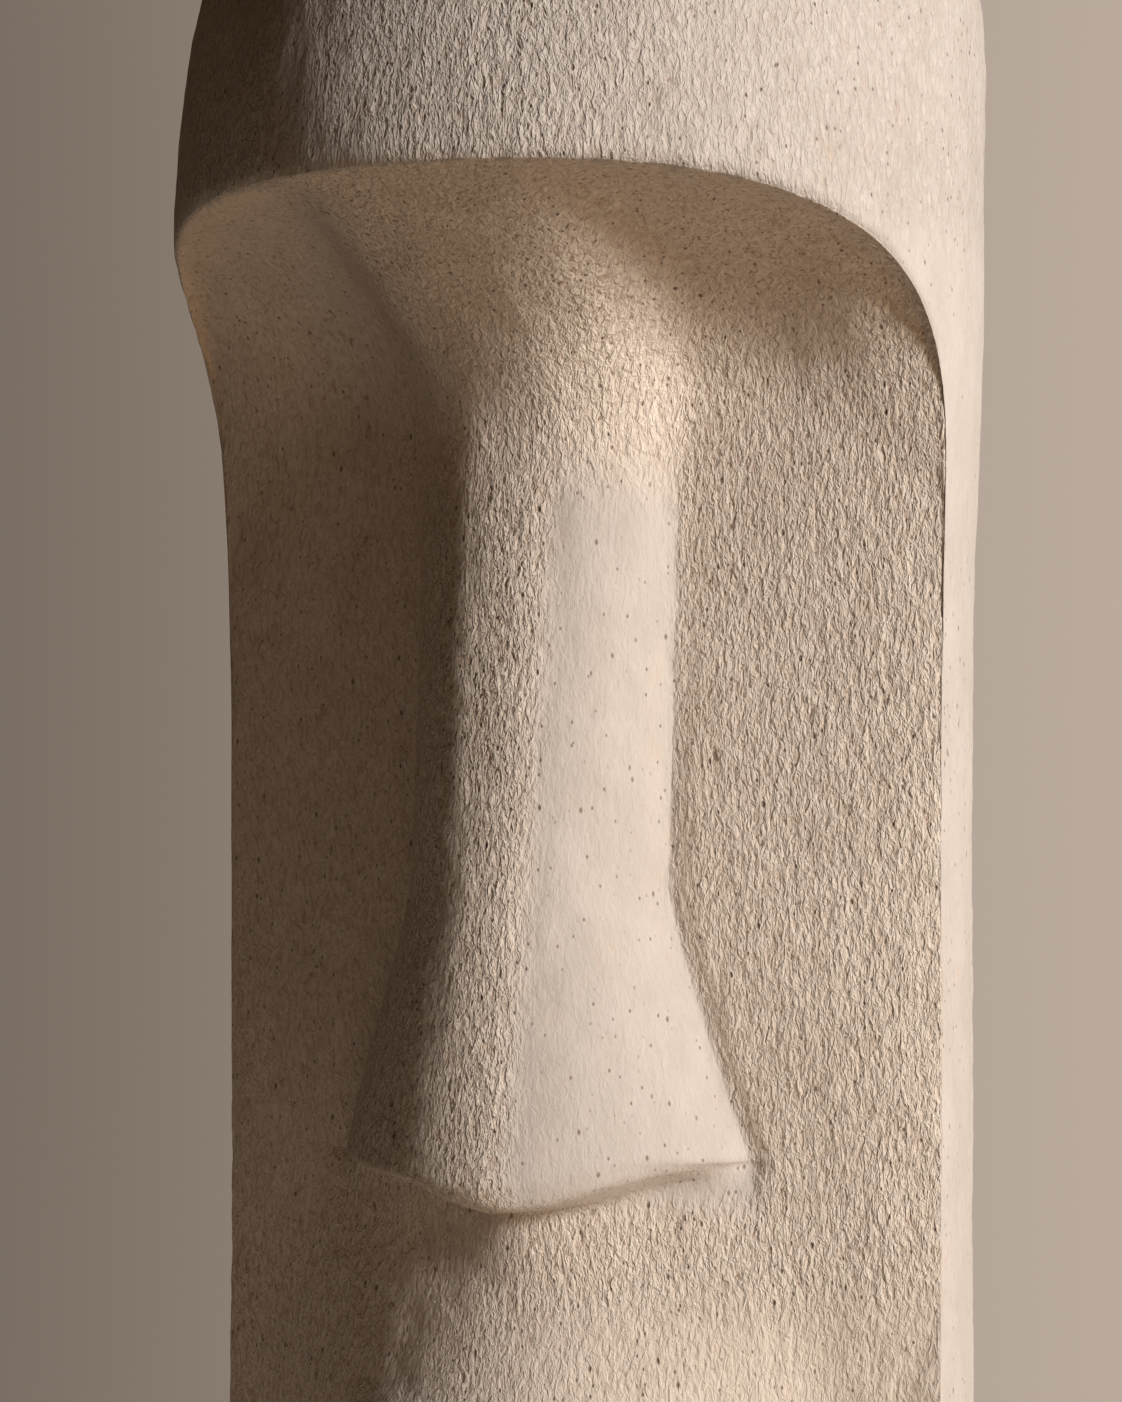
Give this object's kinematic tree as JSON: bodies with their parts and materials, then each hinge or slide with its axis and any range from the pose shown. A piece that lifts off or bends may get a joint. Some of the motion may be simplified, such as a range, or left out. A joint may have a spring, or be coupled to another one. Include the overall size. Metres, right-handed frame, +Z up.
{
  "type": "moai totem",
  "caption": "Standing round clay column with a stylised long face carved in its front under a deep overhanging brow, with a long flared nose, lips and chin above a low round foot.",
  "frame": {"origin": "middle of the flat round underside, on the ground", "axes": "+Z up along the column, the face looks along -Y, +X on the right of someone who looks at the face"},
  "size_m": [0.2, 0.2043, 0.545],
  "materials": {
    "clay": "unglazed buff stoneware, matt, with a fine grooved and pitted skin"
  },
  "bodies": {
    "root": {"moai_totem": "clay"}
  },
  "joints": []
}
